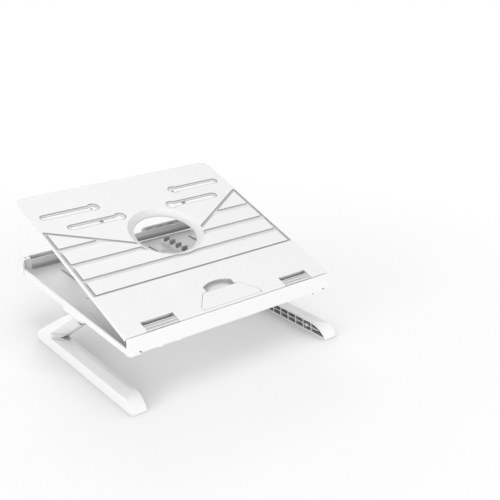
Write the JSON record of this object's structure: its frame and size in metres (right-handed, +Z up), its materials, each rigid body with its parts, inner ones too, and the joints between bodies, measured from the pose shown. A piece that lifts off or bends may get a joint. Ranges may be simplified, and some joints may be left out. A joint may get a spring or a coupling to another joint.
{
  "type": "laptop stand",
  "caption": "Folding laptop stand: slotted tilting plate with a round window on a shallow tray, wire prop over racks, fold-in V legs, flip-up tab and stops.",
  "frame": {"origin": "on the desk under the middle of the stand, at the middle of its outline in X and Y", "axes": "+X to the user's right, +Y to the rear, +Z up"},
  "size_m": [0.3324, 0.319, 0.1908],
  "materials": {
    "white_plastic": "fine satin moulded texture",
    "bright_steel": "drawn wire",
    "steel": "plated",
    "soft_rubber": "soft matt"
  },
  "bodies": {
    "base": {"base_tray": "white_plastic", "left_rear_guard": "white_plastic", "right_rear_guard": "white_plastic", "guard_screws": "steel", "left_rack": "white_plastic", "right_rack": "white_plastic", "rack_screws": "steel", "hinge_pins": "steel", "left_bracket": "white_plastic", "right_bracket": "white_plastic", "bracket_screws": "steel", "left_leg_pin": "steel", "right_leg_pin": "steel"},
    "plate": {"top_plate": "white_plastic", "tab_pin": "steel", "stop_pins": "steel", "left_bail_clip": "white_plastic", "right_bail_clip": "white_plastic", "clip_screws": "steel"},
    "tab": {"flip_tab": "white_plastic"},
    "stop_left": {"left_stop": "white_plastic"},
    "stop_right": {"right_stop": "white_plastic"},
    "bail": {"prop_bail": "bright_steel"},
    "leg_left": {"left_leg": "white_plastic", "left_foot_pads": "soft_rubber"},
    "leg_right": {"right_leg": "white_plastic", "right_foot_pads": "soft_rubber"}
  },
  "joints": [
    {"name": "plate_tilt", "type": "hinge", "parent": "base", "child": "plate", "pos_m": [0, -0.13934, 0.08945], "axis": [1, 0, 0], "range_deg": [-16.9, 18]},
    {"name": "bail_swing", "type": "hinge", "parent": "plate", "child": "bail", "pos_m": [0, 0.00348, 0.13532], "axis": [1, 0, 0], "range_deg": [-42.4, 39.8]},
    {"name": "tab_flip", "type": "hinge", "parent": "plate", "child": "tab", "pos_m": [0, -0.13671, 0.09454], "axis": [1, 0, 0], "range_deg": [0, 95]},
    {"name": "left_stop_flip", "type": "hinge", "parent": "plate", "child": "stop_left", "pos_m": [-0.1075, -0.13951, 0.09361], "axis": [1, 0, 0], "range_deg": [0, 95]},
    {"name": "right_stop_flip", "type": "hinge", "parent": "plate", "child": "stop_right", "pos_m": [0.1075, -0.13951, 0.09361], "axis": [1, 0, 0], "range_deg": [0, 95]},
    {"name": "left_leg_fold", "type": "hinge", "parent": "base", "child": "leg_left", "pos_m": [-0.145, 0, 0.0655], "axis": [0, -1, 0], "range_deg": [0, 95]},
    {"name": "right_leg_fold", "type": "hinge", "parent": "base", "child": "leg_right", "pos_m": [0.145, 0, 0.0655], "axis": [0, 1, 0], "range_deg": [0, 95]}
  ],
  "couplings": [
    {"joint": "bail_swing", "follows": "plate_tilt", "ratio": -2.35}
  ]
}
